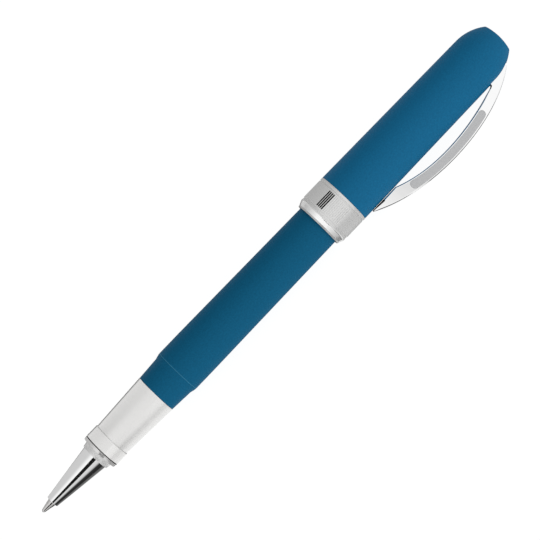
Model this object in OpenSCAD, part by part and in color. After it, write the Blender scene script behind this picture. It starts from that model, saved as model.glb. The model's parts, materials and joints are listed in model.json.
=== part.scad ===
// Rollerball pen, lying down with its cap posted on the tail of the barrel.
// Lengths are in millimetres. Every part is drawn on the pen's own axis, with x counted from the
// tip of the ball, and then laid down by pen_pose(): the axis along X, and the clip towards -Y,
// rolled over until the clip and the cap band both touch the surface z = 0.

/* [Refill] */
// Diameter of the writing ball
ball_d = 0.7; // [0.5:0.1:0.9]
// Length of the refill, ball included
refill_len = 110.5; // [109.5:0.5:111]
// Diameter of the refill's body
refill_d = 6.1; // [5.9:0.1:6.2]
// Diameter of the metal point where it leaves the nose cone
point_d = 2.06; // [1.9:0.02:2.1]
// Length of the metal point in front of the nose cone
point_len = 3.3; // [3:0.1:3.5]

/* [Section] */
// Length of the nose cone's polished taper
nose_len = 14.3; // [13.5:0.1:14.5]
// Diameter of the nose cone at its front
nose_front_d = 3; // [2.9:0.05:3.2]
// Diameter of the nose cone at the back of its taper
nose_back_d = 6.66; // [6.5:0.02:6.9]
// Diameter of the trim ring and of the section's front band
ring_d = 9.7; // [9.4:0.1:10]
// Length of the section's front band
front_band_len = 3.3; // [2.5:0.1:4]
// Diameter of the grip just behind the front band
grip_front_d = 9.2; // [9:0.1:9.4]
// Diameter of the grip at its back
grip_back_d = 10.56; // [10.3:0.02:10.7]
// Distance from the ball to the back of the metal grip
grip_end = 38.4; // [36:0.1:39]

/* [Barrel] */
// Distance from the ball to the joint where the section unscrews
joint_x = 45.5; // [45:0.1:46]
// Distance from the ball to the end of the barrel
barrel_end = 122; // [121:0.5:123]
// Largest diameter of the barrel
barrel_d = 11.96; // [11.8:0.02:12.2]
// Diameter of the barrel at its tail
tail_d = 10.86; // [10.7:0.02:11]
// Length of the barrel's straight front stretch
barrel_straight = 6.5; // [4:0.5:8]

/* [Cap] */
// Distance from the ball to the mouth of the posted cap
mouth_x = 93.1; // [92:0.1:94]
// Length of the cap
cap_len = 61.4; // [61:0.1:62]
// Length of the metal band at the cap's mouth
band_len = 8.8; // [8.5:0.1:9]
// Diameter of the band
band_d = 13.88; // [13.8:0.02:14]
// Diameter of the cap where its dome begins
cap_top_d = 13.08; // [13:0.02:13.2]
// Length of the dome
dome_len = 7.3; // [7.1:0.1:7.5]
// Diameter of the flat end of the dome
cap_end_d = 8; // [7.8:0.1:8.2]
// Engraved lines in each reeded patch of the band
reed_count = 16; // [8:1:18]
// Angle between two engraved lines
reed_step = 4.2; // [3.8:0.1:4.4]

/* [Clip] */
// Width of the clip across the pen
clip_w = 3; // [2.6:0.1:3.1]
// Height of the top of the bow over the pen's axis
clip_rise = 12.17; // [11.8:0.01:12.5]
// Thickness of the bow at its middle
clip_t = 2.72; // [2.5:0.02:2.9]
// Gap between the clip's foot and the cap
foot_gap = 0.22; // [0.1:0.02:0.5]
// Diameter of the clip's pivot pin
pivot_d = 1; // [0.8:0.1:1.1]

/* [Thread] */
// Pitch of the thread between section and barrel
pitch = 1; // [0.8:0.1:1]
// Number of turns of thread
turns = 5; // [3:1:6]
// Flats round each turn
thread_flats = 32; // [24:8:40]

/* [Hidden] */
$fn = 96;

// Colours
BLUE = [0.08, 0.34, 0.52];
SILVER = [0.82, 0.82, 0.81];
CHROME = [0.9, 0.9, 0.92];
BRASS = [0.72, 0.6, 0.34];
STEEL = [0.6, 0.61, 0.63];
GREY = [0.62, 0.62, 0.63];
DARK = [0.2, 0.2, 0.22];
IVORY = [0.9, 0.88, 0.8];

// Running clearance between parts that move, and between parts that are glued or pressed
run = 0.05;
seat = 0.02;

// Length of the shoulder behind the nose cone's taper
shoulder_len = 1.2;

// Stations along the pen
total_len = mouth_x + cap_len;
nose_x = point_len;
nose_end = nose_x + nose_len;
shoulder_end = nose_end + shoulder_len;
ring_x = shoulder_end + 0.35;
ring_end = ring_x + 0.95;
band_end = ring_end + front_band_len;
barrel_x = joint_x + 0.1;
taper_x = barrel_x + barrel_straight;
cap_x = mouth_x + band_len;
dome_x = total_len - 0.6 - dome_len;
refill_end = refill_len;
nose_bore_x = 8;
shank_end = 12;
tube_x = 23;
plug_x = barrel_end - 4.5;
liner_x = mouth_x + 1.2;
liner_step_x = mouth_x + 30.9;
bore_end = barrel_end + 0.1;
liner_end = mouth_x + 48.9;
magnet_x = mouth_x + 1.95;
magnet_end = mouth_x + 5.85;
carrier_x = liner_end + 0.2;
carrier_end = carrier_x + 9.1;

// Radii of the bores, and of the spigots that the parts are joined by
refill_bore = refill_d / 2 + 0.25;
connector_r = 4.05;
insert_r = 4.98;
tenon_r = 4.95;
cone_spigot_r = 3.9;
barrel_bore = 4.3;
liner_r = 6.1;
inner_cap_r = 5.2;
inner_cap_bore = 4.2;
chamber_r = 4.4;
spigot_r = 6.45;
finial_r = 3.5;
magnet_r = 6.62;
tube_wall = 0.25;
shank_r = 0.95;

// Lengths of those spigots, and of the thread's insert
cone_spigot = 6;
tenon_len = 2.2;
insert_len = 10.3;
cap_spigot = 3;
plug_head = 1.5;
end_plug_head = 2.5;

// Thread: height of the ridges, half widths at foot and crest, and play between the flanks
ridge_h = 0.4;
foot_w = 0.3;
crest_w = 0.1;
flank_play = 0.08;
thread_x = joint_x + 1.4;
connector_x = grip_end - 4.2;

// Clip: pivot, slot, heel, and roll of the whole pen, at which the clip's lower corner meets the surface.
// axis_y puts the middle of the pen's footprint at y = 0.
pivot_x = total_len - 7.2;
pivot_y = 2.6;
slot_w = clip_w + 0.2;
slot_len = 6.5;
slot_floor = 0.3;
heel_r = 1.55;
pin_len = 6.2;
foot_x = cap_x + 2.5;
foot_r = cap_r(foot_x + 4) + foot_gap;
corner_r = norm([clip_rise, clip_w / 2]);
roll = asin(band_d / 2 / corner_r) - atan2(clip_w / 2, clip_rise);
axis_y = (clip_rise * cos(roll) + clip_w / 2 * sin(roll) - band_d / 2) / 2;

// Radius of the barrel and of the cap's side at a distance from the ball
function barrel_r(x) =
    barrel_d / 2 - (barrel_d - tail_d) / 2 * max(0, x - taper_x) / (barrel_end - taper_x);
function cap_r(x) = band_d / 2 - (band_d - cap_top_d) / 2 * (x - cap_x) / (dome_x - cap_x);

// Points of an arc, and of a cubic Bezier curve, both with their ends
function arc(centre, r, from, to, steps = 12) = [
    for (i = [0:steps])
        let (a = from + (to - from) * i / steps)
            centre + r * [cos(a), sin(a)]
];
function bezier(p, steps = 24) = [
    for (i = [0:steps])
        let (u = i / steps, v = 1 - u)
            v ^ 3 * p[0] + 3 * u * v ^ 2 * p[1] + 3 * u ^ 2 * v * p[2] + u ^ 3 * p[3]
];

// The curve of the cap's dome: an arc tangent to the side at dome_x that falls to the end's edge
dome_drop = (cap_top_d - cap_end_d) / 2;
dome_r = (dome_len ^ 2 + dome_drop ^ 2) / 2 / dome_drop;
dome_angle = asin(dome_len / dome_r);
dome_points = arc([dome_x, cap_top_d / 2 - dome_r], dome_r, 90, 90 - dome_angle);

// The cap's end face is a shallow dome too
end_x = dome_x + dome_len;
end_rise = total_len - end_x;
end_r = ((cap_end_d / 2) ^ 2 + end_rise ^ 2) / 2 / end_rise;
function end_points(from_r, to_r, steps = 6) = [
    for (i = [0:steps])
        let (r = from_r + (to_r - from_r) * i / steps)
            [total_len - end_r + sqrt(end_r ^ 2 - r ^ 2), r]
];

// Lays a part that is drawn on the pen's axis on the surface
module pen_pose() {
    translate([-total_len / 2, axis_y, band_d / 2])
        rotate([roll, 0, 0])
            children();
}

// A turned part from its half section, given as points [x, radius]
module turned(points) {
    pen_pose()
        rotate([90, 0, 90])
            rotate_extrude()
                polygon([for (p = points) [p[1], p[0]]]);
}

// A plain sleeve from x0 to x1
module sleeve(x0, x1, bore, r) {
    turned([[x0, bore], [x0, r], [x1, r], [x1, bore]]);
}

// Extrudes an outline in the clip's plane, given as [x, height over the axis], by w across the pen.
// Its middle is moved sideways by shift.
module across(w, shift = 0) {
    pen_pose()
        mirror([0, 1, 0])
            translate([0, 0, shift - w / 2])
                linear_extrude(w)
                    children();
}

// A ring with a helical ridge on one face, as flat faces. The ridge runs on the face of radius
// r_face, which is the outer one if r_back is smaller, and fades out over half a turn at its ends.
module threaded_ring(x0, x1, r_back, r_face, r_crest, foot, crest) {
    n = thread_flats;
    steps = n * turns;
    fade = n / 2;
    function at(x, r, i) = [x, r * cos(360 * i / n), r * sin(360 * i / n)];
    function height(q) = r_face + (r_crest - r_face) * min(1, q / fade, (steps - q) / fade);
    function helix(q, m) =
        let (x = thread_x + pitch * q / n, side = [-foot, -crest, crest, foot])
            at(x + side[m], m == 1 || m == 2 ? height(q) : r_face, q);
    corners = [
        for (c = [[x0, r_face], [x1, r_face], [x0, r_back], [x1, r_back]])
            for (i = [0:n - 1])
                at(c[0], c[1], i)
    ];
    ridge = [for (q = [0:steps], m = [0:3]) helix(q, m)];
    // Indices of the corner rings a, b (face) and c, d (back), and of the ridge's points
    function a(i) = i % n;
    function b(i) = n + i % n;
    function c(i) = 2 * n + i % n;
    function d(i) = 3 * n + i % n;
    function p(q, m) = 4 * n + 4 * q + m;
    last = steps - n;
    // Triangles from one point to each edge of a path
    function fan(apex, path) = [for (i = [0:len(path) - 2]) [apex, path[i], path[i + 1]]];
    faces = [
        for (q = [0:steps - 1], m = [0:2])
            each [[p(q, m), p(q, m + 1), p(q + 1, m)], [p(q, m + 1), p(q + 1, m + 1), p(q + 1, m)]],
        for (q = [0:last - 1])
            [p(q, 3), p(q + n, 0), p(q + n + 1, 0), p(q + 1, 3)],
        for (i = [0:n - 2])
            [a(i), p(i, 0), p(i + 1, 0), a(i + 1)],
        each fan(p(n - 1, 0), [p(n, 0), p(0, 3), p(0, 2), p(0, 1), p(0, 0), a(0), a(n - 1)]),
        for (i = [1:n - 1])
            [p(last + i, 3), b(i), b(i + 1), p(last + i + 1, 3)],
        each fan(p(last + 1, 3), [p(last, 3), for (m = [0:3]) p(steps, m), b(0), b(1)]),
        for (i = [0:n - 1])
            each [
                [a(i), a(i + 1), c(i + 1), c(i)],
                [b(i), d(i), d(i + 1), b(i + 1)],
                [c(i), c(i + 1), d(i + 1), d(i)],
            ],
    ];
    outer = r_face > r_back;
    polyhedron(
        points = concat(corners, ridge),
        faces = outer ? faces : [for (f = faces) [for (i = [len(f) - 1:-1:0]) f[i]]],
        convexity = 10
    );
}

// A helical spring along the pen's axis, as flat faces
module coil_spring(x0, x1, r, wire_r, coils) {
    sides = 8;
    rings = 16 * coils;
    points = [
        for (i = [0:rings], j = [0:sides - 1])
            let (a = 360 * coils * i / rings, b = 360 * j / sides, rho = r + wire_r * cos(b))
                [
                    x0 + wire_r + (x1 - x0 - 2 * wire_r) * i / rings + wire_r * sin(b),
                    rho * cos(a),
                    rho * sin(a),
                ]
    ];
    faces = [
        [for (j = [0:sides - 1]) j],
        for (i = [0:rings - 1], j = [0:sides - 1])
            let (k = i * sides + j, next = i * sides + (j + 1) % sides)
                each [[k, k + sides, next], [next, k + sides, next + sides]],
        [for (j = [sides - 1:-1:0]) rings * sides + j],
    ];
    polyhedron(points = points, faces = faces, convexity = 10);
}

// ---- Barrel ----

module barrel_shell() {
    tube_end = barrel_end - plug_head;
    insert_end = barrel_x + insert_len + 0.1;
    color(BLUE)
        turned([
            [barrel_x, insert_r + seat],
            [barrel_x, barrel_d / 2],
            [taper_x, barrel_d / 2],
            [tube_end, barrel_r(tube_end)],
            [tube_end, barrel_bore],
            [insert_end, barrel_bore],
            [insert_end, insert_r + seat],
        ]);
}

module barrel_thread_insert() {
    play = 0.1;
    // The ridges of this ring fill the grooves of the other, less the play at each flank
    foot = pitch / 2 - crest_w - flank_play;
    crest = pitch / 2 - foot_w - flank_play;
    color(BRASS)
        pen_pose()
            translate([pitch / 2, 0, 0])
                threaded_ring(barrel_x - pitch / 2 + 0.2, barrel_x - pitch / 2 + insert_len,
                              insert_r, connector_r + ridge_h + play, connector_r + play,
                              foot, crest);
}

module barrel_tail_plug() {
    head_x = barrel_end - plug_head;
    edge = 1.2;
    r = barrel_r(head_x);
    color(BLUE)
        turned(concat(
            [[plug_x, 0], [plug_x, barrel_bore - seat], [head_x, barrel_bore - seat], [head_x, r]],
            arc([barrel_end - edge, r - edge], edge, 90, 0, 6),
            [[barrel_end, 0]]
        ));
}

module refill_spring() {
    color(STEEL)
        pen_pose()
            coil_spring(refill_end + run, plug_x - run, r = 2.3, wire_r = 0.25, coils = 5);
}

// ---- Refill ----

module refill_tube() {
    color(STEEL)
        sleeve(tube_x, refill_end - end_plug_head, refill_d / 2 - tube_wall, refill_d / 2);
}

// The moulded front of the refill, which holds the point and plugs the tube
module refill_nose() {
    r = refill_d / 2;
    plug_r = r - tube_wall - seat;
    plug_end = tube_x + 5;
    feed_bore = 0.6;
    shank_bore = shank_r + seat;
    shank_bottom = shank_end + 0.1;
    color(DARK)
        turned([
            [nose_bore_x, shank_bore], [nose_bore_x, shank_bore + 0.2],
            [nose_bore_x + 1.3, shank_bore + 0.2], [nose_bore_x + 2, 1.3], [tube_x - 6.5, 2.1],
            [tube_x - 5, 2.55], [tube_x - 3, r - 0.3], [tube_x - 2.5, r], [tube_x, r],
            [tube_x, plug_r], [plug_end, plug_r], [plug_end, feed_bore],
            [shank_bottom, feed_bore], [shank_bottom, shank_bore],
        ]);
}

// The metal point: a cone that grips the ball, and the shank behind it
module refill_point() {
    r = ball_d / 2;
    seat_r = r + 0.01;
    body_r = 1.15;
    ink_bore = 0.55;
    color(STEEL)
        turned([
            [r - 0.01, seat_r], [r - 0.15, r + 0.06], [r + 0.1, r + 0.16],
            [point_len - 0.1, point_d / 2], [point_len, body_r], [nose_bore_x, body_r],
            [nose_bore_x, shank_r], [shank_end, shank_r], [shank_end, ink_bore],
            [nose_bore_x, ink_bore], [ball_d + 0.3, r - 0.1], [ball_d + 0.1, seat_r],
        ]);
}

module refill_end_plug() {
    r = refill_d / 2;
    plug_r = r - tube_wall - seat;
    x = refill_end - end_plug_head;
    edge = 0.4;
    color(DARK)
        turned([
            [x - 4, 0], [x - 4, plug_r], [x, plug_r], [x, r], [refill_end - edge, r],
            [refill_end, r - edge], [refill_end, 0],
        ]);
}

module ink_reservoir() {
    color(IVORY)
        sleeve(tube_x + 6, refill_end - 7, 0.6, refill_d / 2 - tube_wall - 0.05);
}

module ink_feed() {
    wick_r = 0.5;
    wick_end = tube_x + 17;
    color(IVORY)
        turned([
            [ball_d + 0.5, 0], [ball_d + 0.5, 0.15], [nose_bore_x + 0.2, wick_r],
            [wick_end, wick_r], [wick_end, 0],
        ]);
}

module writing_ball() {
    color(CHROME)
        pen_pose()
            translate([ball_d / 2, 0, 0])
                sphere(d = ball_d);
}

// ---- Section ----

module nose_cone() {
    spigot_end = ring_end + cone_spigot;
    shoulder = nose_back_d / 2 + 0.32;
    point_bore = 1.22;
    bore = refill_bore - 0.05;
    color(CHROME)
        turned([
            [nose_x, point_bore], [nose_x, nose_front_d / 2], [nose_end, nose_back_d / 2],
            [nose_end, shoulder], [shoulder_end, shoulder + 0.17], [shoulder_end, cone_spigot_r],
            [spigot_end, cone_spigot_r], [spigot_end, bore], [tube_x - 3, bore],
            [tube_x - 5.8, 2.8], [nose_bore_x + 1, 1.4], [nose_bore_x, point_bore],
        ]);
}

module trim_ring() {
    bore = cone_spigot_r + seat;
    r = ring_d / 2;
    color(SILVER)
        turned([
            [ring_x, bore], [ring_x, r - 0.15], [ring_x + 0.15, r], [ring_end - 0.2, r],
            [ring_end, r - 0.2], [ring_end, bore],
        ]);
}

module section_shell() {
    r = ring_d / 2;
    spigot_end = ring_end + cone_spigot + 0.1;
    bore = cone_spigot_r + seat;
    tenon = grip_end + tenon_len;
    color(SILVER)
        turned([
            [ring_end, bore], [ring_end, r - 0.2], [ring_end + 0.12, r - seat],
            [band_end, r - seat], [band_end + 0.45, grip_front_d / 2],
            [grip_end, grip_back_d / 2], [grip_end, tenon_r], [tenon, tenon_r],
            [tenon, connector_r + seat], [connector_x, connector_r + seat],
            [connector_x, refill_bore], [spigot_end, refill_bore], [spigot_end, bore],
        ]);
}

module section_collar() {
    r = barrel_d / 2;
    bore = tenon_r + seat;
    color(BLUE)
        turned([
            [grip_end, bore], [grip_end, r - 0.66], [joint_x - 1.4, r - 0.35],
            [joint_x, r - 0.05], [joint_x, bore],
        ]);
}

module section_connector() {
    color(BRASS)
        pen_pose()
            threaded_ring(connector_x + 0.1, thread_x + pitch * turns + 0.7, refill_bore,
                          connector_r, connector_r + ridge_h, foot_w, crest_w);
}

// Steel ring that the cap's magnet holds on to when the pen is closed
module keeper_ring() {
    color(STEEL)
        sleeve(grip_end + tenon_len + 0.1, joint_x - 0.1, connector_r + seat, tenon_r);
}

// ---- Cap ----

module cap_shell() {
    spigot_end = cap_x + cap_spigot;
    step = liner_step_x + 0.1;
    color(BLUE)
        difference() {
            turned(concat(
                [[cap_x, spigot_r], [cap_x, cap_r(cap_x)]],
                dome_points,
                end_points(cap_end_d / 2, finial_r + run, 2),
                [
                    [carrier_end + 0.1, finial_r + run], [carrier_end + 0.1, chamber_r],
                    [liner_end + 0.1, chamber_r], [liner_end + 0.1, inner_cap_r + run],
                    [step, inner_cap_r + run], [step, liner_r + seat],
                    [spigot_end, liner_r + seat], [spigot_end, spigot_r],
                ]
            ));
            // Slot that the clip's root passes through
            across(slot_w)
                translate([pivot_x - 2.55, chamber_r - 1.4])
                    square([slot_len, 5]);
        }
}

// Metal band: chamfered mouth, turned grooves, and two patches of engraved lines
module cap_band() {
    r = band_d / 2;
    groove = 0.14;
    patch = (reed_count - 1) * reed_step;
    reed_len = 4.6;
    reed_w = 0.24;
    reed_depth = 0.16;
    mouth_bore = 5.78;
    lip_r = r - 0.66;
    bore = liner_r + seat;
    magnet_bore = magnet_r + seat;
    spigot_end = cap_x + cap_spigot - 0.1;
    front_groove = mouth_x + 1.95;
    back_groove = mouth_x + 7.8;
    color(SILVER)
        difference() {
            turned([
                [mouth_x, mouth_bore], [mouth_x, lip_r], [mouth_x + 0.25, lip_r + 0.06],
                [mouth_x + 1.5, r - 0.08], [front_groove - 0.05, r - 0.02],
                [front_groove, r - groove], [front_groove + 0.6, r - groove],
                [front_groove + 0.65, r], [back_groove - 0.05, r], [back_groove, r - groove],
                [back_groove + 0.25, r - groove], [back_groove + 0.3, r], [cap_x, r],
                [cap_x, spigot_r - seat], [spigot_end, spigot_r - seat], [spigot_end, bore],
                [magnet_end + 0.05, bore], [magnet_end + 0.05, magnet_bore],
                [magnet_x - 0.05, magnet_bore], [magnet_x - 0.05, bore], [liner_x, bore],
                [liner_x, mouth_bore],
            ]);
            for (side = [0, 180], i = [0:reed_count - 1])
                pen_pose()
                    rotate([side + i * reed_step - patch / 2, 0, 0])
                        translate([mouth_x + 2.9, -reed_w / 2, r - reed_depth])
                            cube([reed_len, reed_w, 1]);
        }
}

// Plastic liner: a taper that grips the barrel's tail, and the inner cap over the point
module cap_liner() {
    floor_x = liner_end - 1;
    color(DARK)
        turned([
            [liner_x, barrel_r(liner_x) + run], [liner_x, liner_r], [liner_step_x, liner_r],
            [liner_step_x, inner_cap_r], [liner_end, inner_cap_r], [liner_end, 0], [floor_x, 0],
            [floor_x, inner_cap_bore], [bore_end, inner_cap_bore],
            [bore_end, barrel_r(bore_end) + run],
        ]);
}

module closure_magnet() {
    color(STEEL)
        sleeve(magnet_x, magnet_end, liner_r + seat, magnet_r);
}

module cap_finial() {
    color(BLUE)
        turned(concat(
            [[carrier_end + 0.1, 0], [carrier_end + 0.1, finial_r]],
            end_points(finial_r, 0)
        ));
}

// Turned plug in the top of the cap, slotted for the clip's root and drilled for its pin
module clip_carrier() {
    color(BRASS)
        difference() {
            sleeve(carrier_x, carrier_end, 0, chamber_r - seat);
            across(slot_w)
                translate([carrier_x + 1.7, slot_floor])
                    square([slot_len + 0.5, 5]);
            across(2 * chamber_r)
                translate([pivot_x, pivot_y])
                    circle(d = pivot_d);
        }
}

module clip_pivot_pin() {
    color(STEEL)
        across(pin_len)
            translate([pivot_x, pivot_y])
                circle(d = pivot_d - 2 * seat);
}

// Leaf spring under the clip's heel
module clip_spring() {
    leaf_t = 0.25;
    bottom = slot_floor + 0.04;
    rise = 0.38;
    from_x = carrier_x + 1.8;
    bend_x = carrier_x + 5;
    to_x = pivot_x + 2;
    color(STEEL)
        across(clip_w - 0.4)
            polygon([
                [from_x, bottom], [bend_x, bottom], [to_x, bottom + rise],
                [to_x, bottom + rise + leaf_t], [bend_x - 0.05, bottom + leaf_t],
                [from_x, bottom + leaf_t],
            ]);
}

// ---- Clip ----

// Height of the two middle control points of a curve that rises to top between ends at a and b
function crown(top, a, b) = top * 4 / 3 - (a + b) / 6;

// Control points of the bow's outer and inner edges, as [x, height over the axis]
foot_top = foot_r + 0.12;
outer_end = 5.93;
inner_end = 7.25;
outer_crown = crown(clip_rise, foot_top, outer_end);
inner_crown = crown(clip_rise - clip_t, foot_r, inner_end);
outer_edge = [
    [foot_x, foot_top],
    [foot_x + 11.85, outer_crown],
    [total_len - 15, outer_crown],
    [total_len - 3.85, outer_end],
];
inner_edge = [
    [foot_x + 7.7, foot_r],
    [foot_x + 16.1, inner_crown],
    [total_len - 23.2, inner_crown],
    [total_len - 11.9, inner_end],
];

// Side view of the clip: the bow, and its root that runs down into the cap and round the pin
module clip_outline() {
    throat = [[-2.35, 3.6], [-2.45, 4.15], [-3.1, 4.45]];
    polygon(concat(
        [[foot_x + 0.15, foot_r]],
        bezier(outer_edge),
        arc([pivot_x, pivot_y], heel_r, 20, -180, 10),
        [for (p = throat) [pivot_x, pivot_y] + p],
        bezier([for (i = [3:-1:0]) inner_edge[i]])
    ));
}

// Side view of the grey panel: the bow's middle, kept a border away from its edges
module inlay_outline() {
    border = 0.28;
    end_round = 0.9;
    from_x = foot_x + 10.3;
    to_x = total_len - 15.2;
    offset(r = end_round)
        offset(delta = -end_round)
            intersection() {
                offset(delta = -border)
                    clip_outline();
                translate([from_x, 0])
                    square([to_x - from_x, 20]);
            }
}

// One grey panel, let into the clip's face on side 1 (upper) or -1 (lower)
module clip_inlay(side) {
    depth = 0.2;
    across(depth, side * (clip_w - depth) / 2)
        inlay_outline();
}

module clip_bow() {
    color(CHROME)
        difference() {
            across(clip_w)
                clip_outline();
            across(clip_w + 1)
                translate([pivot_x, pivot_y])
                    circle(d = pivot_d + 2 * run);
            clip_inlay(1);
            clip_inlay(-1);
        }
}

module clip_inlay_upper() {
    color(GREY)
        clip_inlay(1);
}

module clip_inlay_lower() {
    color(GREY)
        clip_inlay(-1);
}

barrel_shell();
barrel_thread_insert();
barrel_tail_plug();
refill_spring();
refill_tube();
refill_nose();
refill_point();
refill_end_plug();
ink_reservoir();
ink_feed();
writing_ball();
nose_cone();
trim_ring();
section_shell();
section_collar();
section_connector();
keeper_ring();
cap_shell();
cap_band();
cap_liner();
closure_magnet();
cap_finial();
clip_carrier();
clip_pivot_pin();
clip_spring();
clip_bow();
clip_inlay_upper();
clip_inlay_lower();
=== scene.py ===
"""Looks of a rollerball pen that lies on a pale table with its cap posted on the barrel's tail.

Outlines are in millimetres on the pen's own axis: x counts from the tip of the ball, and height is
the distance from the axis towards the clip. place() puts them where the CAD frame has the pen.
"""

import json
import math

import bmesh
import bpy
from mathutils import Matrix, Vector


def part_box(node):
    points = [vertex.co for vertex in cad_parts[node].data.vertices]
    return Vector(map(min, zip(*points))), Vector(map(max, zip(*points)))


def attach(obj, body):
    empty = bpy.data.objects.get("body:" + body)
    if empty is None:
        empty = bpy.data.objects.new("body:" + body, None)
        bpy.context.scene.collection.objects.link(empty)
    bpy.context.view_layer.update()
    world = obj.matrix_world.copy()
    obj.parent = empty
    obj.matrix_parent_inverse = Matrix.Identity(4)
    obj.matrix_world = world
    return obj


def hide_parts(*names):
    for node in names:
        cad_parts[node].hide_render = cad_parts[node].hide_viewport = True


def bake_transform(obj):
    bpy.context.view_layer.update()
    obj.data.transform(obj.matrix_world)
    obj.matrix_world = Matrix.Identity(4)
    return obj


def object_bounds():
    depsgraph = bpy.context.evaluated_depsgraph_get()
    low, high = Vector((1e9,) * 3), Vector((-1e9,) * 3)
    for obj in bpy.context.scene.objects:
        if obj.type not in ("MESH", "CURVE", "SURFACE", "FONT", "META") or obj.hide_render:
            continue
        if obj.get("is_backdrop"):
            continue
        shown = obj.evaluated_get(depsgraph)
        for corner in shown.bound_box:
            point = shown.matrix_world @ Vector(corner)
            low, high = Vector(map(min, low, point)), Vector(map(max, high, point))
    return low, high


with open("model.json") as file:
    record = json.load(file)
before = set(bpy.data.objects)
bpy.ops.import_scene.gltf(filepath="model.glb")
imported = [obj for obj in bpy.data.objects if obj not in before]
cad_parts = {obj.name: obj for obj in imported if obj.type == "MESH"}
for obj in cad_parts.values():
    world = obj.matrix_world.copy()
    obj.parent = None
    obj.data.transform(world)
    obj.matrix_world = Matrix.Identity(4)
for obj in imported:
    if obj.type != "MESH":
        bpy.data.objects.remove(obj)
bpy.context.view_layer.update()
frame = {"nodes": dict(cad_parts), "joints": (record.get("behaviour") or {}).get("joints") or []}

MM = 0.001
SEGMENTS = 192  # facets round a turned piece
SHARP = math.radians(38)  # edges sharper than this aren't shaded smooth
MERGE = 1e-7  # metres: vertices closer than this become one
TINY = 1e-6  # millimetres: less than this counts as nothing


# ---- Where the pen lies ------------------------------------------------------------------------

def joint(name):
    """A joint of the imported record."""
    return next(j for j in frame["joints"] if j["name"] == name)


barrel_low, barrel_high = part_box("barrel_shell")
ALONG = Vector((1, 0, 0))
SIDE = Vector(joint("clip_lift")["axis"]).normalized()
CLIP = ALONG.cross(SIDE)
ORIGIN = (barrel_low + barrel_high) / 2
ORIGIN.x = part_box("writing_ball")[0].x


def place(x, height=0.0, across=0.0):
    """The row-frame point at x along the pen, height towards the clip, and across to the side."""
    return ORIGIN + MM * (x * ALONG + height * CLIP + across * SIDE)


def span(node):
    """Where a turned CAD node starts and ends along the pen, and its largest radius."""
    low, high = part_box(node)
    return (low.x - ORIGIN.x) / MM, (high.x - ORIGIN.x) / MM, (high.z - low.z) / 2 / MM


def height_of(point):
    """The height of a row-frame point over the pen's axis."""
    return (Vector(point) - ORIGIN).dot(CLIP) / MM


# ---- Stations and radii ------------------------------------------------------------------------

nose_x = span("nose_cone")[0]
ring_x, ring_end, _ = span("trim_ring")
collar_x, joint_x, _ = span("section_collar")
barrel_x, tube_end, barrel_r = span("barrel_shell")
plug_x, barrel_end, _ = span("barrel_tail_plug")
mouth_x, band_spigot_x, band_r = span("cap_band")
cap_x = span("cap_shell")[0]
finial_x, pen_end, finial_r = span("cap_finial")
connector_x, connector_end, _ = span("section_connector")
insert_x, insert_end, insert_r = span("barrel_thread_insert")
spring_x, spring_end, _ = span("refill_spring")

NOSE_LEN = 14.45
NOSE_FRONT_R = 1.56
NOSE_BACK_R = 3.43
SHOULDER_LEN = 1.05
FRONT_BAND_LEN = 3.3
FRONT_BAND_R = 4.9
SPIGOT_BORE = 3.92  # of the pieces that sit on the nose cone's spigot
GRIP_FRONT_R = 4.69
GRIP_BACK_R = 5.36
BARREL_STRAIGHT = 6.5  # length of the barrel before its taper
TAIL_R = 5.43
CAP_TOP_R = 6.54  # where the cap's side meets its dome
CAP_END_R = 4.0  # where the dome meets the end face
DOME_LEN = 7.3
END_RISE = 0.6  # of the end face's middle over its rim
CLIP_W = 3.0
CLIP_T = 2.72  # the bow's height at its middle
CLIP_RISE = 12.36  # of the bow's outer edge over the axis
HEEL_R = 1.55  # round the clip's pin
PAD_LEN = 3.7  # of the clip's foot

nose_end = nose_x + NOSE_LEN
shoulder_end = nose_end + SHOULDER_LEN
band_end = ring_end + FRONT_BAND_LEN
taper_x = barrel_x + BARREL_STRAIGHT
cap_end_x = pen_end - END_RISE
dome_x = cap_end_x - DOME_LEN
clip_pivot = Vector(joint("clip_lift")["pos_m"])
clip_pivot_x = (clip_pivot.x - ORIGIN.x) / MM
clip_pivot_height = height_of(clip_pivot)


def barrel_radius(x):
    """Radius of the barrel at x."""
    return barrel_r - (barrel_r - TAIL_R) * max(0.0, x - taper_x) / (barrel_end - taper_x)


def cap_radius(x):
    """Radius of the cap's side at x."""
    return band_r - (band_r - CAP_TOP_R) * (x - cap_x) / (dome_x - cap_x)


def end_face_x(r):
    """Where the cap's slightly domed end face is at radius r."""
    ball = (CAP_END_R**2 + END_RISE**2) / 2 / END_RISE
    return pen_end - ball + math.sqrt(ball**2 - r**2)


# ---- Outlines ----------------------------------------------------------------------------------

def arc(x, r, radius, start, end, steps):
    """Points of an arc round (x, r), with angles in degrees from the +x direction."""
    angles = [math.radians(start + (end - start) * i / steps) for i in range(steps + 1)]
    return [(x + radius * math.cos(a), r + radius * math.sin(a)) for a in angles]


def bezier(a, b, c, d, steps):
    """Points of a cubic Bezier curve, both ends included."""
    points = []
    for i in range(steps + 1):
        u = i / steps
        v = 1 - u
        points.append(tuple(
            v**3 * p + 3 * u * v**2 * q + 3 * u**2 * v * r + u**3 * s
            for p, q, r, s in zip(a, b, c, d)
        ))
    return points


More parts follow.
